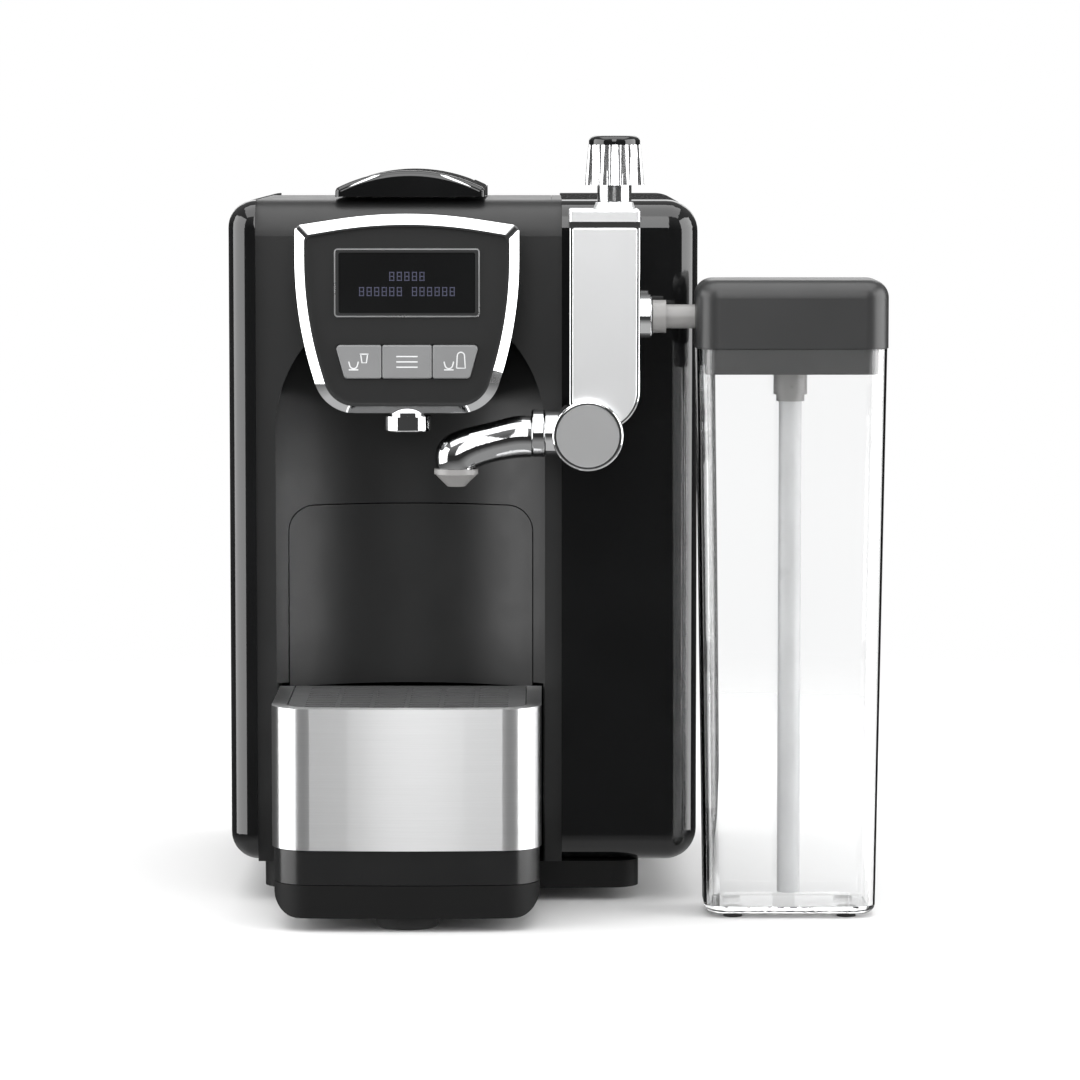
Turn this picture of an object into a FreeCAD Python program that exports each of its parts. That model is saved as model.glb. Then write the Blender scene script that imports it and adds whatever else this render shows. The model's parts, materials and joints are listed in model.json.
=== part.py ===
"""Pod coffee machine with a milk jug. Millimetres, +Z up, front towards -Y, jug towards +X.

While modelling, x = 0 is the middle of the column, y = 0 its front face and z = 0 the surface that it
stands on. On export everything moves so that the origin is the bottom centre of the whole object.
"""

import FreeCAD, Part
import math
import os

V = FreeCAD.Vector

# Housing
TOP = 314.0
BACK = 215.0
BASE_LOW, BASE_TOP = 6.0, 18.0
DECK_LEFT, DECK_RIGHT = -66.0, 102.0
COLUMN_LEFT, COLUMN_RIGHT = -68.5, 67.5
COLUMN_BACK, COVER_SEAT = 145.0, 312.5
BODY_LEFT, BODY_RIGHT = -81.0, 128.0
SIDE_FRONT, SIDE_ROUND = -3.0, 12.2
SIDE_CORNER_LEFT, SIDE_CORNER_RIGHT = 12.4, 14.0
WALL = 3.0

# Cup niche, a shallow vertical hollow under an arch
NICHE_HALF, NICHE_ARCH_Z, NICHE_DEPTH = 60.0, 212.0, 25.0
NICHE_RADIUS = (NICHE_HALF**2 + NICHE_DEPTH**2) / (2 * NICHE_DEPTH)
NICHE_AXIS_Y = NICHE_DEPTH - NICHE_RADIUS

# Control head
HEAD_FRONT = -46.0
HEAD_HALF, HEAD_WIDEST, HEAD_SIDE_RADIUS, HEAD_SLANT = 48.7, 289.0, 171.0, 16.7
HEAD_SHOULDER, HEAD_CROWN, HEAD_LOW = 303.6, 311.0, 222.2
HEAD_CHIN_RADIUS, HEAD_CROWN_RADIUS = 18.0, 200.0
HEAD_WALL = 2.5
BEZEL_PROUD, BEZEL_WIDTH, BEZEL_LOW_WIDTH = 2.9, 4.9, 3.9
BEZEL_EDGE, BEZEL_CREST = 0.4, 0.8
WINDOW_HALF, WINDOW_LOW, WINDOW_HIGH = 29.7, 265.7, 292.0
BUTTON_LOW, BUTTON_HIGH, BUTTON_GAP, BUTTON_TRAVEL = 237.3, 251.9, 0.3, 1.5
PLATE_BACK = HEAD_FRONT + HEAD_WALL

# Brewing
SPOUT_Y, SPOUT_RADIUS = -38.0, 10.5
BORE_Z, BORE_RADIUS, PISTON_RADIUS = 245.0, 16.0, 15.95
CHAMBER_FRONT, CHAMBER_BACK = 46.0, 77.5

# Lever
LEVER_HALF, GRIP_HALF = 33.3, 27.4
LEVER_FRONT, LEVER_LOW, LEVER_EDGE, LEVER_CROWN = 6.0, 315.3, 319.0, 327.0
PIVOT_Y, PIVOT_Z, PIN_RADIUS, BOSS_RADIUS = 118.0, 316.6, 1.5, 2.4

# Drip box and the trays under it
BOX_HALF, BOX_FRONT, BOX_BULGE, BOX_CORNER = 58.5, -83.0, 3.5, 18.0
BOX_LOW, BOX_TOP, SHEET = 35.6, 97.0, 1.2
BOX_CROWN_RADIUS = 420.0
GRID_INSET, GRID_BACK, GRID_PLAY = 7.0, 4.8, 0.4
TRAY_LOW, TRAY_TOP = 20.6, 35.2
DRAWER_HALF, DRAWER_BACK = 54.0, 118.0
BIN_TOP = 177.0
FOOT_HEIGHT = 6.0

# Frother
FROTHER_LEFT, FROTHER_RIGHT, FROTHER_FRONT = 70.5, 101.3, -47.0
FROTHER_LOW, FROTHER_TOP, FROTHER_RIM = 214.0, 310.5, 1.3
FACE_TOP, CAP_LOW = 302.5, 305.3
KNOB_X, KNOB_Y = 90.4, -25.0
HUB_X, HUB_Z, HUB_RADIUS = 78.6, 212.6, 15.5
ARM_Y, ARM_Z = -40.0, 213.0
ELBOW_X = 21.2
PORT_Y, PORT_Z = -27.0, 263.5

# Milk jug
JUG_X, JUG_Y = 167.7, -28.0
JUG_LOW, JUG_RIM, LID_TOP = 1.6, 250.0, 280.2
JUG_FOOT_WIDTH, JUG_FOOT_DEPTH = 75.2, 42.0
JUG_TOP_WIDTH, JUG_TOP_DEPTH = 83.0, 46.0
JUG_WALL = 2.6
LID_WIDTH, LID_DEPTH = 84.0, 47.0
TUBE_RADIUS = 5.0

# Water tank
TANK_LEFT, TANK_RIGHT, TANK_FRONT, TANK_BACK = -66.0, 65.0, 150.0, 212.0
TANK_LOW, TANK_TOP = 24.0, 300.0

PLANES = {
    "xz": lambda u, v, w: V(u, w, v),
    "xy": lambda u, v, w: V(u, v, w),
    "yz": lambda u, v, w: V(w, u, v),
}
made = {}


def outline(corners, plane, level):
    """A closed wire through corners (u, v, r), each rounded by its radius r."""
    joins = []
    for i, (u, v, r) in enumerate(corners):
        here = V(u, v, 0)
        before = (V(*corners[i - 1][:2], 0) - here).normalize()
        after = (V(*corners[(i + 1) % len(corners)][:2], 0) - here).normalize()
        if r > 0:
            half = before.getAngle(after) / 2
            reach = r / math.tan(half)
            inward = (before + after).normalize()
            middle = here + inward * (r / math.sin(half) - r)
            joins.append((here + before * reach, middle, here + after * reach))
        else:
            joins.append((here, here, here))
    place = PLANES[plane]
    edges = []
    for i, (start, middle, end) in enumerate(joins):
        a, b, c = [place(p.x, p.y, level) for p in (start, middle, end)]
        if corners[i][2] > 0:
            edges.append(Part.Arc(a, b, c).toShape())
        following = joins[(i + 1) % len(joins)][0]
        d = place(following.x, following.y, level)
        if c.distanceToPoint(d) > 1e-6:
            edges.append(Part.LineSegment(c, d).toShape())
    return Part.Wire(edges)


def prism(corners, plane, low, high):
    solid = Part.Face(outline(corners, plane, low)).extrude(PLANES[plane](0, 0, high - low))
    if solid.Volume < 0:
        solid.reverse()
    return solid


def rect(u, v, r=0):
    """Corners of a rectangle from the pairs u and v, with its corners rounded by r."""
    return [(u[0], v[0], r), (u[1], v[0], r), (u[1], v[1], r), (u[0], v[1], r)]


def block(x, y, z):
    return Part.makeBox(x[1] - x[0], y[1] - y[0], z[1] - z[0], V(x[0], y[0], z[0]))


def rod(axis, at, radius, length):
    return Part.makeCylinder(radius, length, V(*at), V(*axis))


def ring(axis, at, outer, inner, length):
    return rod(axis, at, outer, length).cut(rod(axis, at, inner, length))


def cone(axis, at, start, end, length):
    return Part.makeCone(start, end, length, V(*at), V(*axis))


def soften(shape, radius, chosen):
    """Round the edges for which chosen(bounding box of the edge) is true."""
    edges = [edge for edge in shape.Edges if chosen(edge.BoundBox)]
    return shape.makeFillet(radius, edges)


def hose(points, radius):
    """A tube along straight runs, with a tangent arc at each point between two runs."""
    points = [V(*p) for p in points]
    edges = []
    start = points[0]
    for before, here, after in zip(points, points[1:], points[2:]):
        back = (before - here).normalize()
        onward = (after - here).normalize()
        half = back.getAngle(onward) / 2
        reach = 0.45 * min(before.distanceToPoint(here), after.distanceToPoint(here))
        bend = reach * math.tan(half)
        middle = here + (back + onward).normalize() * (bend / math.sin(half) - bend)
        edges.append(Part.LineSegment(start, here + back * reach).toShape())
        edges.append(Part.Arc(here + back * reach, middle, here + onward * reach).toShape())
        start = here + onward * reach
    edges.append(Part.LineSegment(start, points[-1]).toShape())
    path = Part.Wire(edges)
    section = Part.Wire(Part.makeCircle(radius, points[0], points[1] - points[0]))
    return path.makePipeShell([section], True, False)


def save(node, *solids):
    made[node] = solids[0] if len(solids) == 1 else Part.makeCompound(list(solids))


def niche(grow, front=-1.0):
    """The space of the cup niche, larger by grow on every side."""
    half = NICHE_HALF + grow
    arch = block((-half, half), (front, 40), (BASE_TOP - 2, NICHE_ARCH_Z))
    arch = arch.fuse(rod((0, 1, 0), (0, front, NICHE_ARCH_Z), half, 40 - front))
    bowl = rod((0, 0, 1), (0, NICHE_AXIS_Y, 0), NICHE_RADIUS + grow, TOP)
    return arch.common(bowl)


def tray_plan(inset, back):
    """Plan of the drip box: rounded front corners and a front face that bows out a little."""
    half = BOX_HALF - inset
    front = BOX_FRONT + inset
    corner = BOX_CORNER - inset
    crown = (0, front - BOX_BULGE, BOX_CROWN_RADIUS)
    return [(-half, back, 0), (-half, front, corner), crown, (half, front, corner), (half, back, 0)]


def head_outline(inset, low_inset):
    """Outline of the control head: arched top, sides that curve in downwards, rounded lower corners."""
    slant = math.radians(HEAD_SLANT)
    half, side, chin = HEAD_HALF - inset, HEAD_SIDE_RADIUS - inset, HEAD_CHIN_RADIUS - inset
    shoulder, crown, floor = HEAD_SHOULDER - inset, HEAD_CROWN - inset, HEAD_LOW + low_inset
    bend = HEAD_WIDEST - side * math.tan(slant / 2)
    low = half - (bend - floor) * math.tan(slant)
    right = [(low, floor, chin), (half, bend, side), (half, shoulder, 3)]
    return right + [(0, crown, HEAD_CROWN_RADIUS)] + [(-u, v, r) for u, v, r in reversed(right)]


def hose_slot():
    """Where the feed hose turns up through the base into the right side."""
    return prism(rect((91.2, 98.8), (56, 77), 3.5), "xy", 7, 34)


def jug_plan(width, depth, radius):
    x = (JUG_X - width / 2, JUG_X + width / 2)
    y = (JUG_Y - depth / 2, JUG_Y + depth / 2)
    return rect(x, y, radius)


# ---------------------------------------------------------------- base and housing


def base_and_feet():
    half = BOX_HALF - 0.8
    nose = prism(tray_plan(0.8, 2.0), "xy", BASE_LOW, TRAY_LOW - 0.3)
    nose = nose.common(prism([(-half, 6, 11), (half, 6, 11), (half, 21, 0), (-half, 21, 0)], "xz", -95, 5))
    nose = nose.cut(prism(tray_plan(4.5, -2.0), "xy", BASE_LOW - 1, TRAY_LOW - 3.5))
    deck = prism(rect((DECK_LEFT, DECK_RIGHT), (0, BACK - 1), 12), "xy", BASE_LOW, BASE_TOP)
    hollow = rect((DECK_LEFT + WALL, DECK_RIGHT - WALL), (WALL, BACK - 4), 9)
    deck = deck.cut(prism(hollow, "xy", BASE_LOW - 1, BASE_TOP - WALL))
    plate = nose.fuse(deck)
    spots = [(0, -66, 13.6), (-56, 54, 8), (68, 54, 8), (-56, 200, 8), (92, 200, 8)]
    for x, y, radius in spots:
        plate = plate.fuse(rod((0, 0, 1), (x, y, BASE_LOW), radius, BASE_TOP - BASE_LOW - 0.5))
    seat = ring((0, 0, 1), (40, 172, BASE_TOP - 1), 9, 4, TANK_LOW - BASE_TOP)
    plate = plate.fuse(seat).cut(rod((0, 0, 1), (40, 172, 10), 4, 12))
    plate = plate.cut(hose_slot())
    save("base_plate", plate.removeSplitter())
    feet = [rod((0, 0, 1), (x, y, 0), radius, FOOT_HEIGHT) for x, y, radius in spots]
    save("feet", *[soften(foot, 1.2, lambda b: b.ZMax < 0.01) for foot in feet])


def side_panels():
    corner = SIDE_CORNER_LEFT
    left = [(BODY_LEFT, BASE_TOP, corner), (COLUMN_LEFT, BASE_TOP, 0)]
    left += [(COLUMN_LEFT, TOP, 0), (BODY_LEFT, TOP, corner)]
    panel = prism(left, "xz", SIDE_FRONT, BACK)
    panel = soften(panel, SIDE_ROUND, lambda b: b.YMax < SIDE_FRONT + 0.01 and b.XMin < COLUMN_LEFT - 2)
    pocket = block((BODY_LEFT + WALL + 2, COLUMN_LEFT), (4, COLUMN_BACK - 5), (BASE_TOP + 14, TOP - 14))
    panel = panel.cut(pocket)
    save("side_panel_left", panel)
    corner = SIDE_CORNER_RIGHT
    right = [(COLUMN_RIGHT, BASE_TOP, 0), (BODY_RIGHT, BASE_TOP, corner)]
    right += [(BODY_RIGHT, TOP, corner), (COLUMN_RIGHT, TOP, 0)]
    shell = prism(right, "xz", SIDE_FRONT, BACK)
    shell = soften(shell, SIDE_ROUND, lambda b: b.YMax < SIDE_FRONT + 0.01 and b.XMax > COLUMN_RIGHT + 2)
    hollow = rect((COLUMN_RIGHT - 1, BODY_RIGHT - WALL), (BASE_TOP + WALL, TOP - WALL), 9)
    inside = prism(hollow, "xz", 3, BACK - WALL)
    inside = soften(inside, 8.5, lambda b: b.YMax < 3.01 and b.XMax > COLUMN_RIGHT + 2)
    inside = inside.cut(block((0, COLUMN_RIGHT + WALL), (COLUMN_BACK, BACK), (0, TOP)))
    inside = inside.cut(block((0, COLUMN_RIGHT + 9.1), (0, BACK), (BASE_TOP, BASE_TOP + 12)))
    shell = shell.cut(inside)
    shell = shell.cut(rod((0, 1, 0), (KNOB_X, -5, 275), 3.6, 12))
    shell = shell.cut(hose_slot())
    shell = shell.cut(block((91, 105), (BACK - 5, BACK + 1), (60.8, 79.2)))
    shell = shell.cut(rod((0, 1, 0), (98, BACK - 5, 35), 6, 10))
    for i in range(9):
        low = 214 + 8 * i
        shell = shell.cut(prism(rect((80, 118), (low, low + 3), 1.4), "xz", BACK - 5, BACK + 1))
    save("side_housing_right", shell)


def column():
    outer = block((COLUMN_LEFT, COLUMN_RIGHT), (0, COLUMN_BACK), (BASE_TOP, TOP))
    outer = soften(outer, 16, lambda b: b.YMax < 0.01 and b.ZMin > TOP - 0.01)
    inner_x = (COLUMN_LEFT + WALL, COLUMN_RIGHT - WALL)
    inner = block(inner_x, (WALL, COLUMN_BACK), (BASE_TOP, COVER_SEAT - WALL))
    inner = soften(inner, 14, lambda b: b.YMax < WALL + 0.01 and b.ZMin > COVER_SEAT - WALL - 0.01)
    shell = outer.cut(niche(0)).cut(inner.cut(niche(WALL)))
    door = rect((-DRAWER_HALF - 0.8, DRAWER_HALF + 0.8), (BASE_TOP - 5, BIN_TOP + 0.5), 11.3)
    shell = shell.cut(prism(door, "xz", -5, 40))
    shell = shell.cut(block((-BOX_HALF - 0.8, BOX_HALF + 0.8), (-5, 40), (BASE_TOP - 1, BOX_TOP + 1.2)))
    shell = shell.cut(block((-62, 61), (20, COLUMN_BACK + 1), (COVER_SEAT - 5, TOP + 1)))
    shell = shell.cut(prism(rect((-64.2, 63.2), (17.8, COLUMN_BACK + 9), 3.2), "xy", COVER_SEAT, TOP + 1))
    shell = shell.cut(rod((0, 1, 0), (0, 0, 230), 5, 40))
    shell = shell.cut(rod((1, 0, 0), (50, 90, 250), 3.6, 20))
    pieces = sorted(shell.Solids, key=lambda s: s.Volume)
    save("column_shell", pieces[-1])

    lug_y, lug_z = (PIVOT_Y - 4, PIVOT_Y + 4), (COVER_SEAT, PIVOT_Z + 3)
    lugs = [block(x, lug_y, lug_z) for x in ((-26.5, -20), (20, 26.5))]
    cover = prism(rect((-64, 63), (18, COLUMN_BACK + 1), 3), "xy", COVER_SEAT, TOP)
    cover = cover.fuse(block((-61.9, 60.9), (20.1, COLUMN_BACK - 0.5), (COVER_SEAT - 3, COVER_SEAT)))
    cover = cover.fuse(lugs[0]).fuse(lugs[1])
    cover = cover.cut(rod((1, 0, 0), (-40, PIVOT_Y, PIVOT_Z), PIN_RADIUS, 80))
    cover = cover.cut(prism(rect((-18.5, 18.5), (43, 80), 6), "xy", 300, 320))
    save("top_cover", cover.removeSplitter())

    back = block((COLUMN_LEFT, COLUMN_RIGHT), (COLUMN_BACK, COLUMN_BACK + 2.5), (BASE_TOP, COVER_SEAT))
    screws = []
    for x in (-62, 61):
        for z in (40, 165, 290):
            head = rod((0, 1, 0), (x, COLUMN_BACK + 2.5, z), 2.6, 1.6)
            shank = rod((0, 1, 0), (x, COLUMN_BACK - 9, z), 1.4, 11.5)
            screws.append(head.fuse(shank))
            back = back.cut(rod((0, 1, 0), (x, COLUMN_BACK - 1, z), 1.4, 5))
    save("back_panel", back)
    save("housing_screws", *screws)


# ---------------------------------------------------------------- control head


def button_outline(side, grow):
    """Outline of one button: the outer ones are cut to the slant of the head."""
    low, high = BUTTON_LOW - grow, BUTTON_HIGH + grow
    if side == 0:
        return rect((-10.8 - grow, 10.8 + grow), (low, high), 1)
    inner, outer_low, outer_high = 11.1 - grow, 27.2 + grow, 31.3 + grow
    right = [(inner, low, 1), (outer_low, low, 1.8), (outer_high, high, 1.8), (inner, high, 1)]
    return right if side > 0 else [(-u, v, r) for u, v, r in reversed(right)]


def control_head():
    body_front = block((COLUMN_LEFT, COLUMN_RIGHT), (0, 60), (BASE_TOP, TOP)).cut(niche(0))
    head = prism(head_outline(0.6, 0.6), "xz", HEAD_FRONT, 30).cut(body_front)
    hollow = prism(head_outline(0.6 + HEAD_WALL, 0.6 + HEAD_WALL), "xz", PLATE_BACK, 30).cut(body_front)
    head = head.cut(hollow)
    window = rect((-WINDOW_HALF, WINDOW_HALF), (WINDOW_LOW, WINDOW_HIGH), 1)
    head = head.cut(prism(window, "xz", HEAD_FRONT - 1, PLATE_BACK + 1))
    for side in (-1, 0, 1):
        head = head.cut(prism(button_outline(side, BUTTON_GAP), "xz", HEAD_FRONT - 1, PLATE_BACK + 1))
    head = head.cut(rod((0, 0, 1), (0, SPOUT_Y, HEAD_LOW - 2), 8, 8))
    save("control_head", sorted(head.Solids, key=lambda s: s.Volume)[-1])

    front, edge = HEAD_FRONT - BEZEL_PROUD, HEAD_FRONT - BEZEL_EDGE
    crest = (BEZEL_WIDTH - BEZEL_CREST, BEZEL_LOW_WIDTH - BEZEL_CREST)
    rims = [outline(head_outline(0, 0), "xz", edge), outline(head_outline(*crest), "xz", front)]
    slope = Part.makeLoft(rims, True)
    bezel = prism(head_outline(0, 0), "xz", edge, HEAD_FRONT).fuse(slope)
    bezel = bezel.cut(prism(head_outline(BEZEL_WIDTH, BEZEL_LOW_WIDTH), "xz", front - 1, HEAD_FRONT + 1))
    for side in (-1, 1):
        joint = block((-5, 5), (front - 1, HEAD_FRONT - 0.7), (-0.75, 0.75))
        joint.rotate(V(0, 0, 0), V(0, 1, 0), -45 * side)
        joint.translate(V(side * (HEAD_HALF - 3), 0, HEAD_SHOULDER - 2.6))
        bezel = bezel.cut(joint)
    save("head_bezel", bezel)

    rim = rect((-WINDOW_HALF - 2, WINDOW_HALF + 2), (WINDOW_LOW - 1.8, WINDOW_HIGH + 1.8), 1.5)
    frame = prism(rim, "xz", HEAD_FRONT - 1, HEAD_FRONT)
    save("display_frame", frame.cut(prism(window, "xz", HEAD_FRONT - 2, HEAD_FRONT + 1)))
    save("display_glass", prism(window, "xz", HEAD_FRONT - 0.6, PLATE_BACK))
    save("display_module", block((-33, 33), (PLATE_BACK, PLATE_BACK + 6), (262, 297)))

    switches = []
    for side, node in ((-1, "button_cup"), (0, "button_menu"), (1, "button_milk")):
        cap = prism(button_outline(side, 0), "xz", HEAD_FRONT - 2.2, PLATE_BACK + 0.3)
        cap = soften(cap, 0.7, lambda b: b.YMax < HEAD_FRONT - 2.19)
        middle = (cap.BoundBox.XMin + cap.BoundBox.XMax) / 2
        flange_y, flange_z = (PLATE_BACK + 0.2, PLATE_BACK + 1.4), (BUTTON_LOW - 1.4, BUTTON_HIGH + 1.4)
        flange = block((middle - 8, middle + 8), flange_y, flange_z)
        save(node, cap.fuse(flange).removeSplitter())
        y = PLATE_BACK + 1.4 + BUTTON_TRAVEL + 0.3
        switches.append(block((middle - 3, middle + 3), (y, y + 3.5), (241.6, 247.6)))
    board_front = switches[0].BoundBox.YMax
    save("button_switches", *switches)
    save("control_board", block((-33, 33), (board_front, board_front + 1.6), (236, 261)))


# ---------------------------------------------------------------- brewing


def brewing():
    outlet = rod((0, 0, 1), (0, SPOUT_Y, 213.8), SPOUT_RADIUS, 6.7)
    outlet = soften(outlet, 1.0, lambda b: b.ZMax < 213.9)
    outlet = outlet.fuse(rod((0, 0, 1), (0, SPOUT_Y, 220), 8, 6))
    outlet = outlet.fuse(rod((0, 1, 0), (0, SPOUT_Y, 230), 4.5, 32 - SPOUT_Y))
    outlet = outlet.fuse(rod((0, 0, 1), (0, SPOUT_Y, 225), 5, 9))
    outlet = outlet.cut(rod((0, 0, 1), (0, SPOUT_Y, 213), 3, 18))
    outlet = outlet.cut(rod((0, 1, 0), (0, SPOUT_Y, 230), 3, 75))
    save("coffee_spout", outlet.removeSplitter())

    frame = block((-30, 30), (32, 124), (216, 274))
    frame = frame.fuse(block((COLUMN_LEFT + WALL, COLUMN_RIGHT - WALL), (112, 118), (216, 222)))
    frame = frame.fuse(block((-25, 25), (41, 83), (182, 218)))
    frame = frame.cut(rod((0, 1, 0), (0, CHAMBER_FRONT, BORE_Z), BORE_RADIUS, 90))
    frame = frame.cut(block((-18.5, 18.5), (CHAMBER_FRONT, CHAMBER_BACK), (180, 280)))
    frame = frame.cut(rod((0, 1, 0), (0, 30, 230), 3, 20))
    save("brew_frame", frame.removeSplitter())
    piston = rod((0, 1, 0), (0, CHAMBER_BACK + 0.5, BORE_Z), PISTON_RADIUS, 42)
    piston = piston.cut(rod((0, 1, 0), (0, CHAMBER_BACK + 6, BORE_Z), 12, 40))
    save("brew_piston", piston)
    funnel = block((-21, 21), (43, 81), (274, COVER_SEAT - 3))
    save("capsule_funnel", funnel.cut(block((-18.5, 18.5), (CHAMBER_FRONT, CHAMBER_BACK), (270, TOP))))

    heater = prism(rect((COLUMN_RIGHT, 114), (35, 120), 5), "xy", 180, 290)
    save("boiler", heater)
    motor = rod((0, 0, 1), (95, 60, 44), 21, 100)
    motor = motor.fuse(block((COLUMN_RIGHT, 80), (45, 75), (60, 120)))
    save("pump", motor.removeSplitter())
    board = block((73, 74.6), (150, 200), (90, 200))
    for y in (155, 195):
        for z in (95, 195):
            board = board.fuse(rod((1, 0, 0), (COLUMN_RIGHT + WALL, y, z), 2.5, 3))
    save("power_board", board)
    feed = hose([(40, 172, 21), (40, 172, 12), (40, 120, 12), (95, 95, 12), (95, 60, 12), (95, 60, 44)], 2.8)
    rise = hose([(95, 60, 144), (95, 60, 180)], 2.8)
    brew = hose([(COLUMN_RIGHT, 90, 250), (30, 90, 250)], 2.8)
    steam = hose([(KNOB_X, 35, 275), (KNOB_X, -14, 275)], 2.8)
    save("hoses", feed, rise, brew, steam)


def lever():
    arch = Part.Wire([
        Part.Arc(V(-LEVER_HALF, 0, LEVER_EDGE), V(0, 0, LEVER_CROWN), V(LEVER_HALF, 0, LEVER_EDGE)).toShape(),
        Part.LineSegment(V(LEVER_HALF, 0, LEVER_EDGE), V(LEVER_HALF, 0, LEVER_LOW)).toShape(),
        Part.LineSegment(V(LEVER_HALF, 0, LEVER_LOW), V(-LEVER_HALF, 0, LEVER_LOW)).toShape(),
        Part.LineSegment(V(-LEVER_HALF, 0, LEVER_LOW), V(-LEVER_HALF, 0, LEVER_EDGE)).toShape(),
    ])
    loaf = Part.Face(arch).extrude(V(0, PIVOT_Y - LEVER_FRONT, 0))
    loaf.translate(V(0, LEVER_FRONT, 0))
    loaf = soften(loaf, 2.6, lambda b: abs(b.ZMin - LEVER_EDGE) < 0.01 and b.YMax - b.YMin > 50)
    loaf = soften(loaf, 2.4, lambda b: b.YMax < LEVER_FRONT + 0.01 and b.ZMax > LEVER_LOW + 2.6)
    grip_zone = prism(rect((-GRIP_HALF, GRIP_HALF), (LEVER_FRONT + 17, 100), 6), "xy", LEVER_LOW, 340)
    save("lever_grip", soften(loaf.common(grip_zone), 1.0, lambda b: b.ZMax > LEVER_EDGE + 2))
    arms = loaf.cut(prism(rect((-GRIP_HALF, GRIP_HALF), (LEVER_FRONT + 17, 200), 6), "xy", 300, 340))
    for x in (-LEVER_HALF, GRIP_HALF):
        arms = arms.fuse(rod((1, 0, 0), (x, PIVOT_Y, PIVOT_Z), BOSS_RADIUS, LEVER_HALF - GRIP_HALF))
    arms = arms.cut(rod((1, 0, 0), (-40, PIVOT_Y, PIVOT_Z), PIN_RADIUS + 0.05, 80))
    save("lever_arms", arms.removeSplitter())
    save("lever_pin", rod((1, 0, 0), (-LEVER_HALF, PIVOT_Y, PIVOT_Z), PIN_RADIUS, 2 * LEVER_HALF))


# ---------------------------------------------------------------- frother


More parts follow.
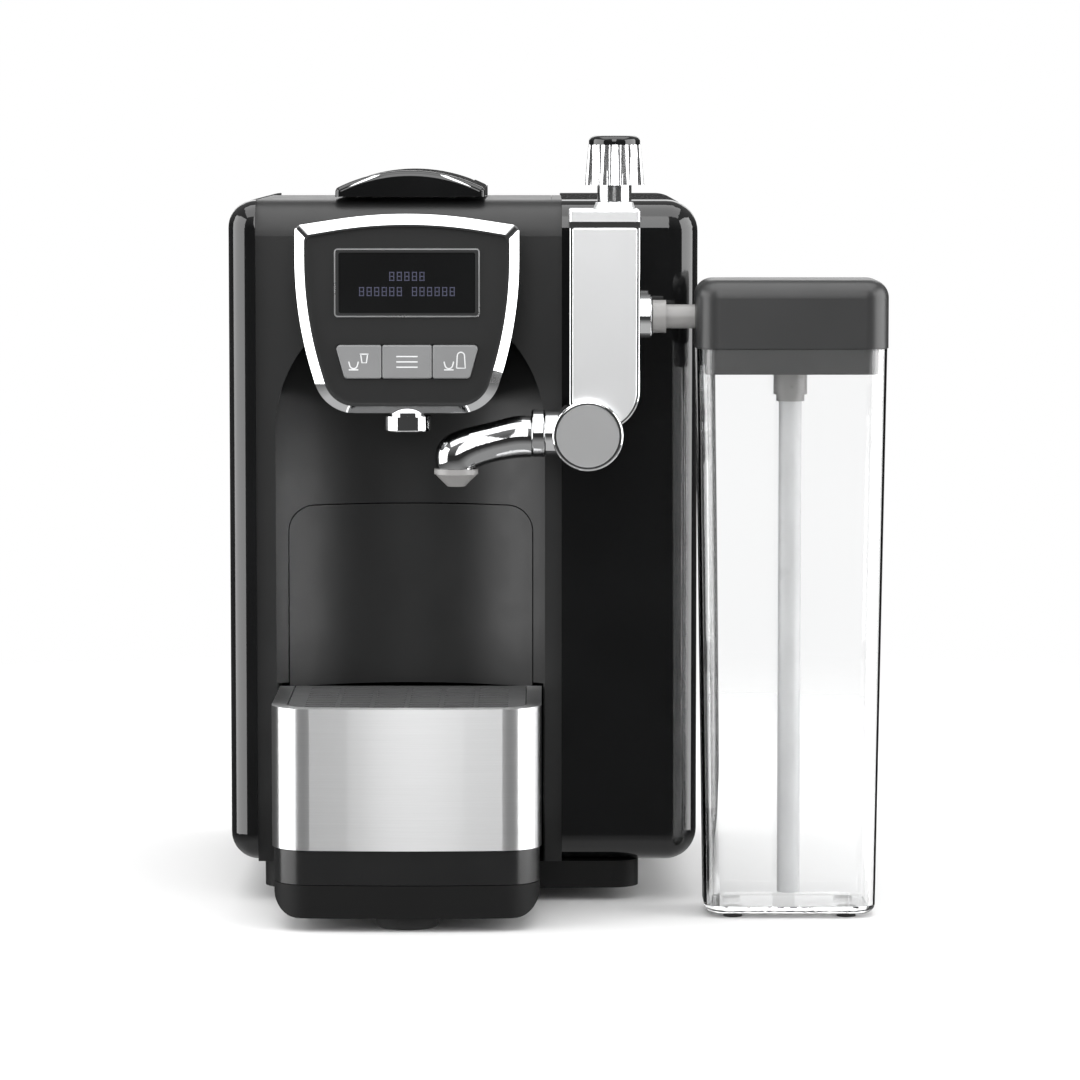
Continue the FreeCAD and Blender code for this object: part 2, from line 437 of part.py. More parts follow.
def frother():
    hub_space = rod((0, 1, 0), (HUB_X, -60, HUB_Z), HUB_RADIUS, 60 + ARM_Y + 12)
    left, right, low = FROTHER_LEFT + FROTHER_RIM, FROTHER_RIGHT - FROTHER_RIM, FROTHER_LOW + FROTHER_RIM
    shape = [(left, low, 1), (right, low, 18 - FROTHER_RIM), (right, FACE_TOP, 0.8), (left, FACE_TOP, 0.8)]
    core = [(FROTHER_LEFT, FROTHER_LOW, 2), (FROTHER_RIGHT, FROTHER_LOW, 18)]
    core += [(FROTHER_RIGHT, CAP_LOW, 0), (FROTHER_LEFT, CAP_LOW, 0)]
    plate = prism(shape, "xz", FROTHER_FRONT, FROTHER_FRONT + 4)
    body = prism(core, "xz", FROTHER_FRONT + 0.8, SIDE_FRONT + 3)
    body = soften(body, 0.9, lambda b: b.YMax < FROTHER_FRONT + 0.81 and b.ZMin < CAP_LOW - 1)
    body = body.cut(made["side_housing_right"])
    body = body.cut(plate).cut(block((60, 110), (FROTHER_FRONT, FROTHER_FRONT + 5), (FACE_TOP, CAP_LOW + 1)))
    plate = soften(plate, 0.6, lambda b: b.YMax < FROTHER_FRONT + 0.01)
    save("frother_plate", plate.cut(hub_space))
    body = body.cut(block((FROTHER_LEFT + 3, FROTHER_RIGHT - 3), (-40, -6), (232, 302)))
    body = body.cut(rod((0, 1, 0), (KNOB_X, -10, 275), 3.6, 10)).cut(hub_space)
    body = body.cut(rod((0, 0, 1), (KNOB_X, KNOB_Y, 300), 3.05, 8))
    save("frother_body", body)
    cap_plan = rect((FROTHER_LEFT, FROTHER_RIGHT), (FROTHER_FRONT, SIDE_FRONT + 5.5), 1.5)
    cap = prism(cap_plan, "xy", CAP_LOW, FROTHER_TOP)
    cap = soften(cap, 1.0, lambda b: b.ZMin > FROTHER_TOP - 0.01).cut(made["side_housing_right"])
    cap = cap.fuse(cone((0, 0, 1), (KNOB_X, KNOB_Y, FROTHER_TOP), 9.2, 8.2, 3))
    save("frother_cap", cap.cut(rod((0, 0, 1), (KNOB_X, KNOB_Y, 300), 3.05, 20)))
    valve = block((80, 98), (-36, -14), (262, 288)).cut(rod((0, 0, 1), (KNOB_X, KNOB_Y, 280), 3.05, 10))
    save("steam_valve", valve)

    port = rod((1, 0, 0), (FROTHER_RIGHT, PORT_Y, PORT_Z), 9.5, 5.6)
    port = soften(port, 1.0, lambda b: b.XMin > FROTHER_RIGHT + 5)
    save("milk_port", port.cut(rod((1, 0, 0), (FROTHER_RIGHT + 1, PORT_Y, PORT_Z), 3, 10)))

    hub = rod((0, 1, 0), (HUB_X, -53, HUB_Z), HUB_RADIUS, 25)
    hub = soften(hub, 1.2, lambda b: b.YMax < -52.9)
    hub = hub.cut(rod((0, 1, 0), (HUB_X, -54, HUB_Z), 13.8, 2.4))
    hub = hub.fuse(rod((1, 0, 0), (60.3, ARM_Y, ARM_Z), 9.5, HUB_X - 60.3))
    hub = hub.fuse(rod((1, 0, 0), (48, ARM_Y, ARM_Z), 5, HUB_X - 48))
    save("spout_hub", hub.cut(rod((1, 0, 0), (46, ARM_Y, ARM_Z), 2.5, 26)).removeSplitter())
    disc = soften(rod((0, 1, 0), (HUB_X, -52.6, HUB_Z), 13.7, 1.0), 0.4, lambda b: b.YMax < -52.5)
    save("spout_disc", disc)

    bearing = rod((1, 0, 0), (47.5, ARM_Y, ARM_Z), 5.05, 15)
    collar = soften(rod((1, 0, 0), (54, ARM_Y, ARM_Z), 10.4, 6), 1.0, lambda b: b.XMax - b.XMin < 0.01)
    save("spout_collar", collar.cut(bearing))
    sections = [(54, 211.4, -1, 0, 9.0), (42, 210.3, -1, -0.15, 8.8), (31, 207.6, -1, -0.36, 8.8),
                (23, 204.4, -1, -1, 9.6), (ELBOW_X, 197.5, 0, -1, 8.7)]
    rings = [Part.Wire(Part.makeCircle(r, V(x, ARM_Y, z), V(dx, 0, dz))) for x, z, dx, dz, r in sections]
    arm = Part.makeLoft(rings, True)
    arm = arm.cut(block((54, 70), (-60, -20), (190, 230))).cut(bearing)
    save("spout_arm", arm.cut(rod((0, 0, 1), (ELBOW_X, ARM_Y, 190), 2.5, 16)).removeSplitter())
    nozzle = rod((0, 0, 1), (ELBOW_X, ARM_Y, 195.2), 9.6, 2.3)
    nozzle = nozzle.fuse(cone((0, 0, -1), (ELBOW_X, ARM_Y, 195.2), 9.3, 3.9, 5.4))
    save("milk_nozzle", nozzle.cut(rod((0, 0, 1), (ELBOW_X, ARM_Y, 189), 2.5, 10)))


def knob():
    low, high = 321.0, 338.5
    body = cone((0, 0, 1), (KNOB_X, KNOB_Y, low), 13, 11.4, high - low)
    flutes = 18
    for i in range(flutes):
        angle = 2 * math.pi * i / flutes
        x, y = KNOB_X + 13.9 * math.cos(angle), KNOB_Y + 13.9 * math.sin(angle)
        body = body.cut(cone((0, 0, 1), (x, y, low - 0.5), 1.5, 1.5 + 1.5, high - low + 1))
    save("froth_knob", body)
    dome = soften(rod((0, 0, 1), (KNOB_X, KNOB_Y, high), 11.2, 4), 2.5, lambda b: b.ZMin > high + 3.9)
    save("knob_cap", dome)
    stem = rod((0, 0, 1), (KNOB_X, KNOB_Y, FROTHER_TOP + 3.3), 7.5, low - FROTHER_TOP - 3.3)
    save("knob_stem", stem.fuse(rod((0, 0, 1), (KNOB_X, KNOB_Y, 281), 3, 40)).removeSplitter())


# ---------------------------------------------------------------- milk jug


def jug():
    low_plan = jug_plan(JUG_FOOT_WIDTH, JUG_FOOT_DEPTH, 10)
    top_plan = jug_plan(JUG_TOP_WIDTH, JUG_TOP_DEPTH, 10)
    outer = Part.makeLoft([outline(low_plan, "xy", JUG_LOW), outline(top_plan, "xy", JUG_RIM)], True, True)
    outer = soften(outer, 4, lambda b: b.ZMax < JUG_LOW + 0.01)
    inner_low = jug_plan(JUG_FOOT_WIDTH - 2 * JUG_WALL, JUG_FOOT_DEPTH - 2 * JUG_WALL, 7.4)
    inner_top = jug_plan(JUG_TOP_WIDTH - 2 * JUG_WALL, JUG_TOP_DEPTH - 2 * JUG_WALL, 7.4)
    inner_wires = [outline(inner_low, "xy", JUG_LOW + 3.6), outline(inner_top, "xy", JUG_RIM + 1)]
    inner = Part.makeLoft(inner_wires, True, True)
    save("jug_body", outer.cut(inner))
    pads = [rod((0, 0, 1), (JUG_X + x, JUG_Y + y, 0), 4.2, JUG_LOW) for x in (-25, 25) for y in (-12, 12)]
    save("jug_feet", *pads)

    lid = prism(jug_plan(LID_WIDTH, LID_DEPTH, 10.5), "xy", JUG_RIM + 0.3, LID_TOP)
    lid = soften(lid, 8.0, lambda b: b.ZMin > LID_TOP - 0.01)
    lid = lid.cut(prism(jug_plan(LID_WIDTH - 6, LID_DEPTH - 6, 8), "xy", JUG_RIM, LID_TOP - 4))
    save("jug_lid", lid.cut(rod((1, 0, 0), (110, PORT_Y, PORT_Z), 5.25, 30)))
    insert = prism(jug_plan(76, 39, 7), "xy", 239, 262).cut(prism(jug_plan(72, 35, 5), "xy", 241.5, 263))
    insert = insert.cut(rod((1, 0, 0), (110, PORT_Y, PORT_Z), 5.25, 30))
    save("lid_insert", insert.cut(rod((0, 0, 1), (JUG_X, PORT_Y, 238), 4, 6)))
    fitting_start = FROTHER_RIGHT + 5.9
    pipe = rod((1, 0, 0), (fitting_start, PORT_Y, PORT_Z), 7.2, 5.8)
    pipe = pipe.fuse(rod((1, 0, 0), (fitting_start, PORT_Y, PORT_Z), 5.25, JUG_X - fitting_start))
    pipe = pipe.fuse(Part.makeSphere(5.25, V(JUG_X, PORT_Y, PORT_Z)))
    pipe = pipe.fuse(rod((0, 0, 1), (JUG_X, PORT_Y, 241.5), 5.25, PORT_Z - 241.5))
    pipe = pipe.cut(rod((1, 0, 0), (fitting_start - 1, PORT_Y, PORT_Z), 3, JUG_X - fitting_start + 1))
    save("lid_pipe", pipe.cut(rod((0, 0, 1), (JUG_X, PORT_Y, 240), 3, PORT_Z - 240)).removeSplitter())
    fitting = rod((0, 0, 1), (JUG_X, PORT_Y, 229.5), 7.4, 9.5)
    save("suction_fitting", fitting.fuse(rod((0, 0, 1), (JUG_X, PORT_Y, 226.5), 6.2, 4)).removeSplitter())
    save("suction_tube", ring((0, 0, 1), (JUG_X, PORT_Y, 9), TUBE_RADIUS, TUBE_RADIUS - 1.2, 217.5))


# ---------------------------------------------------------------- drip box, trays, bin


def drip_drawer():
    wrap = prism(tray_plan(0, 1.5), "xy", BOX_LOW, BOX_TOP)
    wrap = wrap.cut(prism(tray_plan(SHEET, 1.5), "xy", BOX_LOW - 1, BOX_TOP - SHEET))
    wrap = wrap.cut(prism(tray_plan(GRID_INSET - GRID_PLAY, 1.5), "xy", BOX_LOW, BOX_TOP + 1))
    save("drip_box_wrap", wrap)

    box = prism(tray_plan(SHEET, 1.4), "xy", BOX_LOW + 0.2, BOX_TOP - SHEET)
    rear = block((-DRAWER_HALF, DRAWER_HALF), (1, DRAWER_BACK), (BOX_LOW + 0.2, BOX_TOP - SHEET))
    box = box.fuse(rear)
    seat = tray_plan(GRID_INSET - GRID_PLAY, GRID_BACK + GRID_PLAY)
    box = box.cut(prism(seat, "xy", BOX_TOP - 2.6, BOX_TOP))
    box = box.cut(prism(tray_plan(9, -11), "xy", BOX_LOW + 3, BOX_TOP))
    box = box.cut(block((-46, 46), (-12, DRAWER_BACK - 8), (BOX_LOW + 3, BOX_TOP - 4)))
    box = box.cut(block((-46, 46), (8, DRAWER_BACK - 8), (BOX_LOW + 3, BOX_TOP)))
    save("drip_box", box.removeSplitter())

    grid = prism(tray_plan(GRID_INSET, GRID_BACK), "xy", BOX_TOP - 2.4, BOX_TOP - 0.4)
    columns, rows = 6, 11
    for i in range(columns):
        for j in range(rows):
            x = -44 + i * 15
            y = -72 + j * 6.6
            grid = grid.cut(block((x, x + 13), (y, y + 3), (BOX_TOP - 3, BOX_TOP)))
    save("drip_grid", grid)

    floor = BOX_TOP - SHEET
    round_back = rod((0, 0, 1), (0, NICHE_AXIS_Y, 0), NICHE_RADIUS + WALL, TOP)
    tub = block((-52, 52), (5, DRAWER_BACK), (floor, BIN_TOP - 9)).cut(round_back)
    inner_round = rod((0, 0, 1), (0, NICHE_AXIS_Y, 0), NICHE_RADIUS + WALL + 2, TOP)
    inner = block((-50, 50), (5, DRAWER_BACK - 2), (floor + 2, TOP)).cut(inner_round)
    save("capsule_bin", tub.cut(inner))
    front = [(-DRAWER_HALF - 0.3, floor + 0.1, 0), (DRAWER_HALF + 0.3, floor + 0.1, 0),
             (DRAWER_HALF + 0.3, BIN_TOP, 10.8), (-DRAWER_HALF - 0.3, BIN_TOP, 10.8)]
    panel = prism(front, "xz", 0, 40).common(round_back)
    save("bin_front", panel.cut(rod((0, 0, 1), (0, NICHE_AXIS_Y, 0), NICHE_RADIUS, TOP)))

    tray = prism(tray_plan(0.8, 40), "xy", TRAY_LOW, TRAY_TOP)
    save("lower_tray", tray.cut(prism(tray_plan(3.2, 37.5), "xy", TRAY_LOW + 2.4, TRAY_TOP + 1)))


# ---------------------------------------------------------------- water tank and back


def tank():
    body = prism(rect((TANK_LEFT, TANK_RIGHT), (TANK_FRONT, TANK_BACK), 8), "xy", TANK_LOW, TANK_TOP)
    inside = rect((TANK_LEFT + 2.5, TANK_RIGHT - 2.5), (TANK_FRONT + 2.5, TANK_BACK - 2.5), 5.5)
    body = body.cut(prism(inside, "xy", TANK_LOW + 3, TANK_TOP + 1))
    ears = block((TANK_LEFT, TANK_LEFT + 3), (198, 206), (TANK_TOP - 3, 308))
    ears = ears.fuse(block((TANK_RIGHT - 3, TANK_RIGHT), (198, 206), (TANK_TOP - 3, 308)))
    ears = ears.fuse(rod((1, 0, 0), (TANK_LEFT + 1, 202, 304.2), 1.5, 7))
    ears = ears.fuse(rod((1, 0, 0), (TANK_RIGHT - 8, 202, 304.2), 1.5, 7))
    save("water_tank", body.fuse(ears).removeSplitter())
    lid_side = rect((TANK_FRONT, 205.5), (TANK_TOP + 0.4, 307), 1.5)
    lid = prism(lid_side, "yz", TANK_LEFT + 3.3, TANK_RIGHT - 3.3)
    lid = lid.cut(block((TANK_LEFT + 8, TANK_RIGHT - 8), (TANK_FRONT + 3, 196), (TANK_TOP, 304)))
    save("tank_lid", lid.cut(rod((1, 0, 0), (TANK_LEFT, 202, 304.2), 1.55, 140)))


def back_fittings():
    rocker = rod((1, 0, 0), (91.4, BACK - 6, 70), 8.8, 13.2)
    rocker = rocker.cut(block((90, 106), (BACK + 0.6, BACK + 9), (70, 90)))
    save("power_switch", rocker.cut(block((90, 106), (BACK - 30, BACK - 9), (50, 90))))
    bush = rod((0, 1, 0), (98, BACK - 8, 35), 6, 8).fuse(rod((0, 1, 0), (98, BACK, 35), 8.5, 2.4))
    save("cord_inlet", bush.cut(rod((0, 1, 0), (98, BACK - 9, 35), 3.4, 15)).removeSplitter())


MAKERS = (base_and_feet, side_panels, column, control_head, brewing, lever, frother, knob, jug, drip_drawer,
          tank, back_fittings)
for make in MAKERS:
    make()

whole = FreeCAD.BoundBox()
for shape in made.values():
    whole.add(shape.BoundBox)
shift = V(-(whole.XMin + whole.XMax) / 2, -(whole.YMin + whole.YMax) / 2, -whole.ZMin)
print("shift", shift, "size", whole.XLength, whole.YLength, whole.ZLength)
os.makedirs("parts", exist_ok=True)
for node, shape in made.items():
    shape.translate(shift)
    shape.exportStep("parts/" + node + ".step")
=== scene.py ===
import json
import math

import bmesh
import bpy
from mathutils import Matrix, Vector


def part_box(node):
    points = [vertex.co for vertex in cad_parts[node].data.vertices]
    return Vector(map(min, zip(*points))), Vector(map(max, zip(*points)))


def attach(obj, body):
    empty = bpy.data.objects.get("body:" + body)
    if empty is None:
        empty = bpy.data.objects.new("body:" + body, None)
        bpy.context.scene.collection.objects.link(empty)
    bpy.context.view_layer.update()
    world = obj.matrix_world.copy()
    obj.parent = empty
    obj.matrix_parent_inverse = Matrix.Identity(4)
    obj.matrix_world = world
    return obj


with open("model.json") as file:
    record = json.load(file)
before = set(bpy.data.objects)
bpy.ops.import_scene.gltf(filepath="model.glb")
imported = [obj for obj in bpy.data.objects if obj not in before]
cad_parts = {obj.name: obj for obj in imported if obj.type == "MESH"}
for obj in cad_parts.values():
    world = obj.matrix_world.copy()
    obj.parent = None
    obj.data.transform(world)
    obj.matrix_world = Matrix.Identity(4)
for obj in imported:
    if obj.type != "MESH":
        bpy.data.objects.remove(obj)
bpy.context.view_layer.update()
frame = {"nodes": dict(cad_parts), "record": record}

MM = 0.001
nodes = frame["nodes"]

# ------------------------------------------------------------------ places, from the frame

head_low, head_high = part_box("head_bezel")
column_low, column_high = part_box("column_shell")
lever_low, lever_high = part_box("lever_arms")
MID_X = (head_low.x + head_high.x) / 2          # the middle of the column
FACE_Y = column_low.y                           # the column's front face
BACKWARDS = Vector((0, 1, 0))


# ------------------------------------------------------------------ materials

NOISE_SPAN = (0.3, 0.7)         # where most of a noise's values lie
SMUDGE_SPAN = (0.35, 0.75)      # the same, moved up so that the glossy patches are the larger ones


class Shader:
    """A material's node tree with one Principled shader in it."""

    def __init__(self, name):
        self.material = bpy.data.materials.new(name)
        self.material.use_nodes = True
        self.tree = self.material.node_tree
        self.shader = self.tree.nodes["Principled BSDF"]

    def set(self, **values):
        for name, value in values.items():
            self.shader.inputs[name.replace("_", " ")].default_value = value

    def node(self, kind, **inputs):
        made = self.tree.nodes.new(kind)
        for name, value in inputs.items():
            socket = made.inputs[name.replace("_", " ")]
            if isinstance(value, bpy.types.NodeSocket):
                self.tree.links.new(value, socket)
            else:
                socket.default_value = value
        return made

    def link(self, output, name):
        self.tree.links.new(output, self.shader.inputs[name])

    def place(self, scale=(1, 1, 1)):
        """Object coordinates in metres, stretched by scale."""
        where = self.node("ShaderNodeTexCoord")
        mapping = self.node("ShaderNodeMapping", Vector=where.outputs["Object"], Scale=scale)
        return mapping.outputs["Vector"]

    def noise(self, scale, detail=2.0, stretch=(1, 1, 1), roughness=0.5):
        made = self.node("ShaderNodeTexNoise", Vector=self.place(stretch), Scale=scale, Detail=detail,
                         Roughness=roughness)
        return made.outputs["Fac"]

    def ramp(self, value, low, high, start=0.0, end=1.0):
        made = self.node("ShaderNodeMapRange", Value=value)
        made.inputs["From Min"].default_value = start
        made.inputs["From Max"].default_value = end
        made.inputs["To Min"].default_value = low
        made.inputs["To Max"].default_value = high
        return made.outputs["Result"]

    def colours(self, value, dark, light):
        made = self.node("ShaderNodeValToRGB", Fac=value)
        for element, colour, position in zip(made.color_ramp.elements, (dark, light), NOISE_SPAN):
            element.color = (*colour, 1)
            element.position = position
        return made.outputs["Color"]

    def bump(self, height, distance, strength=1.0):
        made = self.node("ShaderNodeBump", Height=height, Distance=distance, Strength=strength)
        return made.outputs["Normal"]


def grey(value, warmth=0.0):
    """A grey, warmer above 0 and cooler below."""
    return (value * (1 + warmth), value, value * (1 - warmth))


def moulded(name, shade, roughness, grain_mm, depth_mm, warmth=-0.01, level=0.5):
    """Moulded plastic: a fine spark-eroded grain, and a slow drift in colour and gloss."""
    made = Shader(name)
    drift = made.noise(24, 3)
    made.link(made.colours(drift, grey(shade * 0.93, warmth), grey(shade * 1.07, warmth)), "Base Color")
    made.link(made.ramp(made.noise(90, 4), roughness - 0.03, roughness + 0.03, *NOISE_SPAN), "Roughness")
    grain = made.noise(1.0 / (grain_mm * MM), 2.5, roughness=0.6)
    made.link(made.bump(grain, depth_mm * MM), "Normal")
    made.set(Specular_IOR_Level=level)
    return made.material


def gloss_black(name, shade=0.0035):
    """Polished black plastic with faint smudges under a thin clear coat."""
    made = Shader(name)
    made.link(made.colours(made.noise(15, 2), grey(shade, -0.03), grey(shade * 1.6, -0.03)), "Base Color")
    made.link(made.ramp(made.noise(140, 5), 0.05, 0.09, *SMUDGE_SPAN), "Roughness")
    made.link(made.bump(made.noise(40, 1), 0.04 * MM, 0.2), "Normal")
    made.set(Coat_Weight=0.35, Coat_Roughness=0.03)
    return made.material


def chrome(name, low=0.03, high=0.06, shade=0.85):
    """Bright plating, its roughness between low and high."""
    made = Shader(name)
    dark, light = grey(shade * 0.97, -0.008), grey(shade * 1.03, -0.006)
    made.link(made.colours(made.noise(40, 2), dark, light), "Base Color")
    made.link(made.ramp(made.noise(220, 5), low, high, *SMUDGE_SPAN), "Roughness")
    made.link(made.bump(made.noise(70, 1), 0.03 * MM, 0.15), "Normal")
    made.set(Metallic=1.0)
    return made.material


def satin_metal(name, shade, roughness):
    """Fine blasted and anodised metal."""
    made = Shader(name)
    dark, light = grey(shade * 0.985, -0.005), grey(shade * 1.015, -0.005)
    made.link(made.colours(made.noise(12, 2), dark, light), "Base Color")
    made.link(made.ramp(made.noise(60, 4), roughness - 0.015, roughness + 0.015, *NOISE_SPAN), "Roughness")
    made.link(made.bump(made.noise(4200, 1.5), 0.004 * MM), "Normal")
    made.set(Metallic=1.0)
    return made.material


def brushed_steel(name):
    """Sheet steel with fine level scratches, which draw every reflection out up and down."""
    made = Shader(name)
    scratches = made.noise(1.0, 6, stretch=(22, 22, 5200), roughness=0.7)
    made.link(made.colours(scratches, grey(0.76, -0.004), grey(0.82, -0.004)), "Base Color")
    made.link(made.ramp(scratches, 0.31, 0.35, *NOISE_SPAN), "Roughness")
    made.link(made.bump(scratches, 0.006 * MM, 0.8), "Normal")
    around = made.node("ShaderNodeTangent")
    around.direction_type, around.axis = "RADIAL", "Z"
    made.link(around.outputs["Tangent"], "Tangent")
    made.set(Metallic=1.0, Anisotropic=0.92, Anisotropic_Rotation=0.25)
    return made.material


def clear_plastic(name, tint, roughness):
    """Clear acrylic, tinted by tint."""
    made = Shader(name)
    made.link(made.ramp(made.noise(60, 3), roughness, roughness + 0.02, *NOISE_SPAN), "Roughness")
    made.link(made.colours(made.noise(12, 1), tint, tuple(min(1, t * 1.01) for t in tint)), "Base Color")
    made.set(Transmission_Weight=1.0, IOR=1.49)
    return made.material


def milky_plastic(name, shade, clear):
    """Cloudy silicone; clear is the share of light it lets through."""
    made = Shader(name)
    made.link(made.colours(made.noise(18, 2), grey(shade * 0.97), grey(shade * 1.03)), "Base Color")
    made.link(made.ramp(made.noise(60, 3), 0.23, 0.29, *NOISE_SPAN), "Roughness")
    made.set(Transmission_Weight=clear, IOR=1.45)
    return made.material


def glowing(name, colour, strength):
    """Dim lit characters on the display window."""
    made = Shader(name)
    lit = made.colours(made.noise(900, 2), tuple(c * 0.8 for c in colour), colour)
    made.link(made.colours(made.noise(900, 2), grey(0.012), grey(0.018)), "Base Color")
    made.link(lit, "Emission Color")
    made.set(Emission_Strength=strength, Roughness=0.4)
    return made.material


MATERIALS = {
    "gloss_black": gloss_black("gloss_black_plastic"),
    "matt_black": moulded("grained_black_plastic", 0.0098, 0.4, 0.5, 0.02),
    "head_plastic": moulded("satin_head_plastic", 0.0085, 0.38, 0.35, 0.008, level=0.4),
    "chrome_plastic": chrome("chrome_plating"),
    "satin_metal": satin_metal("satin_aluminium", 0.93, 0.44),
    "brushed_steel": brushed_steel("brushed_stainless"),
    "button_grey": moulded("satin_button_grey", 0.15, 0.36, 0.3, 0.008),
    "display_black": gloss_black("display_window", 0.004),
    "board_green": moulded("circuit_board_green", 0.05, 0.35, 0.8, 0.02, warmth=-0.3),
    "steel": satin_metal("plain_steel", 0.5, 0.28),
    "inner_plastic": moulded("inner_plastic", 0.03, 0.45, 0.6, 0.03),
    "hose_silicone": milky_plastic("silicone_hose", 0.65, 0.35),
    "clear_plastic": clear_plastic("clear_jug_plastic", (0.982, 0.984, 0.985), 0.0),
    "tank_plastic": clear_plastic("smoked_tank_plastic", (0.42, 0.45, 0.48), 0.03),
    "lid_plastic": moulded("satin_lid_plastic", 0.02, 0.34, 0.4, 0.008),
    "grey_clear": moulded("milky_grey_tube", 0.55, 0.3, 0.6, 0.004),
    "nozzle_grey": moulded("nozzle_grey", 0.2, 0.35, 0.4, 0.008, warmth=0.02),
    "rubber_black": moulded("foot_rubber", 0.012, 0.7, 0.5, 0.04),
    "grid_grey": moulded("grained_grid", 0.07, 0.42, 0.9, 0.05),
    "aluminium_cast": satin_metal("cast_aluminium", 0.45, 0.45),
}
DISC = satin_metal("satin_disc", 0.57, 0.46)
ICON = moulded("icon_print", 0.5, 0.45, 0.2, 0.002)
LIT = glowing("display_characters", (0.1, 0.105, 0.2), 0.8)
BRIGHT = chrome("bright_knob_plating", 0.16, 0.2)
PIPE = moulded("grey_pipe", 0.24, 0.3, 0.6, 0.004, warmth=0.02)
CRESCENT = chrome("crescent_plating", 0.3, 0.34)
# The milk spout's arm and collar: a darker copy of the chrome plating. Its colour is lowered to paint darker
# reflections onto the arm (painted shade).
SHADED_ARM_CHROME = chrome("spout_plating_painted_shade", 0.05, 0.08, 0.5)
TRAY = moulded("satin_tray_black", 0.0095, 0.22, 0.35, 0.004)
# The base plate: a darker, less shiny copy of the grained black. This is painted shade where the deck sits
# low by the floor.
SHADED_BASE_BLACK = moulded("grained_base_black_painted_shade", 0.003, 0.6, 0.5, 0.02, level=0.25)


def paint(piece, material):
    piece.data.materials.clear()
    piece.data.materials.append(material)


def smooth(piece, angle=35):
    """Shade smooth up to an angle, and keep flat faces flat with face-weighted normals."""
    limit = math.radians(angle)
    mesh = bmesh.new()
    mesh.from_mesh(piece.data)
    for face in mesh.faces:
        face.smooth = True
    for edge in mesh.edges:
        edge.smooth = len(edge.link_faces) == 2 and edge.calc_face_angle(0) < limit
    mesh.to_mesh(piece.data)
    mesh.free()
    weighted = piece.modifiers.new("weighted", "WEIGHTED_NORMAL")
    weighted.keep_sharp = True


def round_edges(piece, width):
    """Take the knife edge off: merge flat facets, then a fine round of width millimetres on every corner."""
    merge = piece.modifiers.new("merge", "DECIMATE")
    merge.decimate_type = "DISSOLVE"
    merge.angle_limit = math.radians(0.4)
    edge = piece.modifiers.new("edge", "BEVEL")
    edge.width = width * MM
    edge.segments = 2
    edge.limit_method = "ANGLE"
    edge.angle_limit = math.radians(40)
    edge.harden_normals = True


# The width in millimetres of each piece's fine edge round.
EDGE = {
    "base_plate": 0.5, "feet": 0.3, "side_panel_left": 0.35, "side_housing_right": 0.35,
    "column_shell": 0.4, "top_cover": 0.4, "back_panel": 0.3, "water_tank": 0.4, "tank_lid": 0.4,
    "power_switch": 0.25, "cord_inlet": 0.25, "lever_arms": 0.3, "lever_grip": 0.25,
    "control_head": 0.25, "head_bezel": 0.25, "display_frame": 0.2, "coffee_spout": 0.5,
    "button_cup": 0.15, "button_menu": 0.15, "button_milk": 0.15,
    "frother_body": 0.2, "frother_plate": 0.15, "frother_cap": 0.3, "knob_cap": 0.2, "knob_stem": 0.25,
    "spout_hub": 0.2, "spout_disc": 0.12, "spout_collar": 0.2, "milk_nozzle": 0.25, "milk_port": 0.25,
    "jug_lid": 0.3, "lid_pipe": 0.25,
    "drip_box": 0.4, "drip_box_wrap": 0.4, "drip_grid": 0.25, "lower_tray": 0.4, "bin_front": 0.4,
}

# Pieces whose look differs from the rest of their material slot.
OWN_LOOK = {
    "spout_disc": DISC, "spout_arm": SHADED_ARM_CHROME, "spout_collar": SHADED_ARM_CHROME, "lid_pipe": PIPE, "suction_fitting": PIPE,
    "froth_knob": BRIGHT, "knob_stem": BRIGHT, "drip_box": TRAY, "lower_tray": TRAY, "base_plate": SHADED_BASE_BLACK,
}

for entry in frame["record"]["subparts"]:
    paint(nodes[entry["node"]], OWN_LOOK.get(entry["node"], MATERIALS[entry["material_slot"]]))


# ------------------------------------------------------------------ pieces


def piece_from(mesh, name, body, material):
    """A finished piece from a bmesh."""
    bmesh.ops.recalc_face_normals(mesh, faces=mesh.faces)
    data = bpy.data.meshes.new(name)
    mesh.to_mesh(data)
    mesh.free()
    made = bpy.data.objects.new(name, data)
    bpy.context.scene.collection.objects.link(made)
    paint(made, material)
    smooth(made, 40)
    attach(made, body)
    return made


def loft(mesh, rings):
    """Closed skin over rings of equally many points, with a face at each end."""
    rows = [[mesh.verts.new(point) for point in ring] for ring in rings]
    for before, after in zip(rows, rows[1:]):
        for i in range(len(before)):
            j = (i + 1) % len(before)
            mesh.faces.new((before[i], before[j], after[j], after[i]))
    mesh.faces.new(rows[0][::-1])
    mesh.faces.new(rows[-1])


CRESCENT_NEAR, CRESCENT_FAR = 13.5, 31.6    # from the lever's middle, mm
LEVER_EDGE = 3.7 * MM                       # from the lever's underside up to where its dome starts
LEVER_ROUND = 2.4 * MM                      # the round along the lever's front edge
CRESCENT_LEAN = math.radians(42)            # how far the crescents face forwards


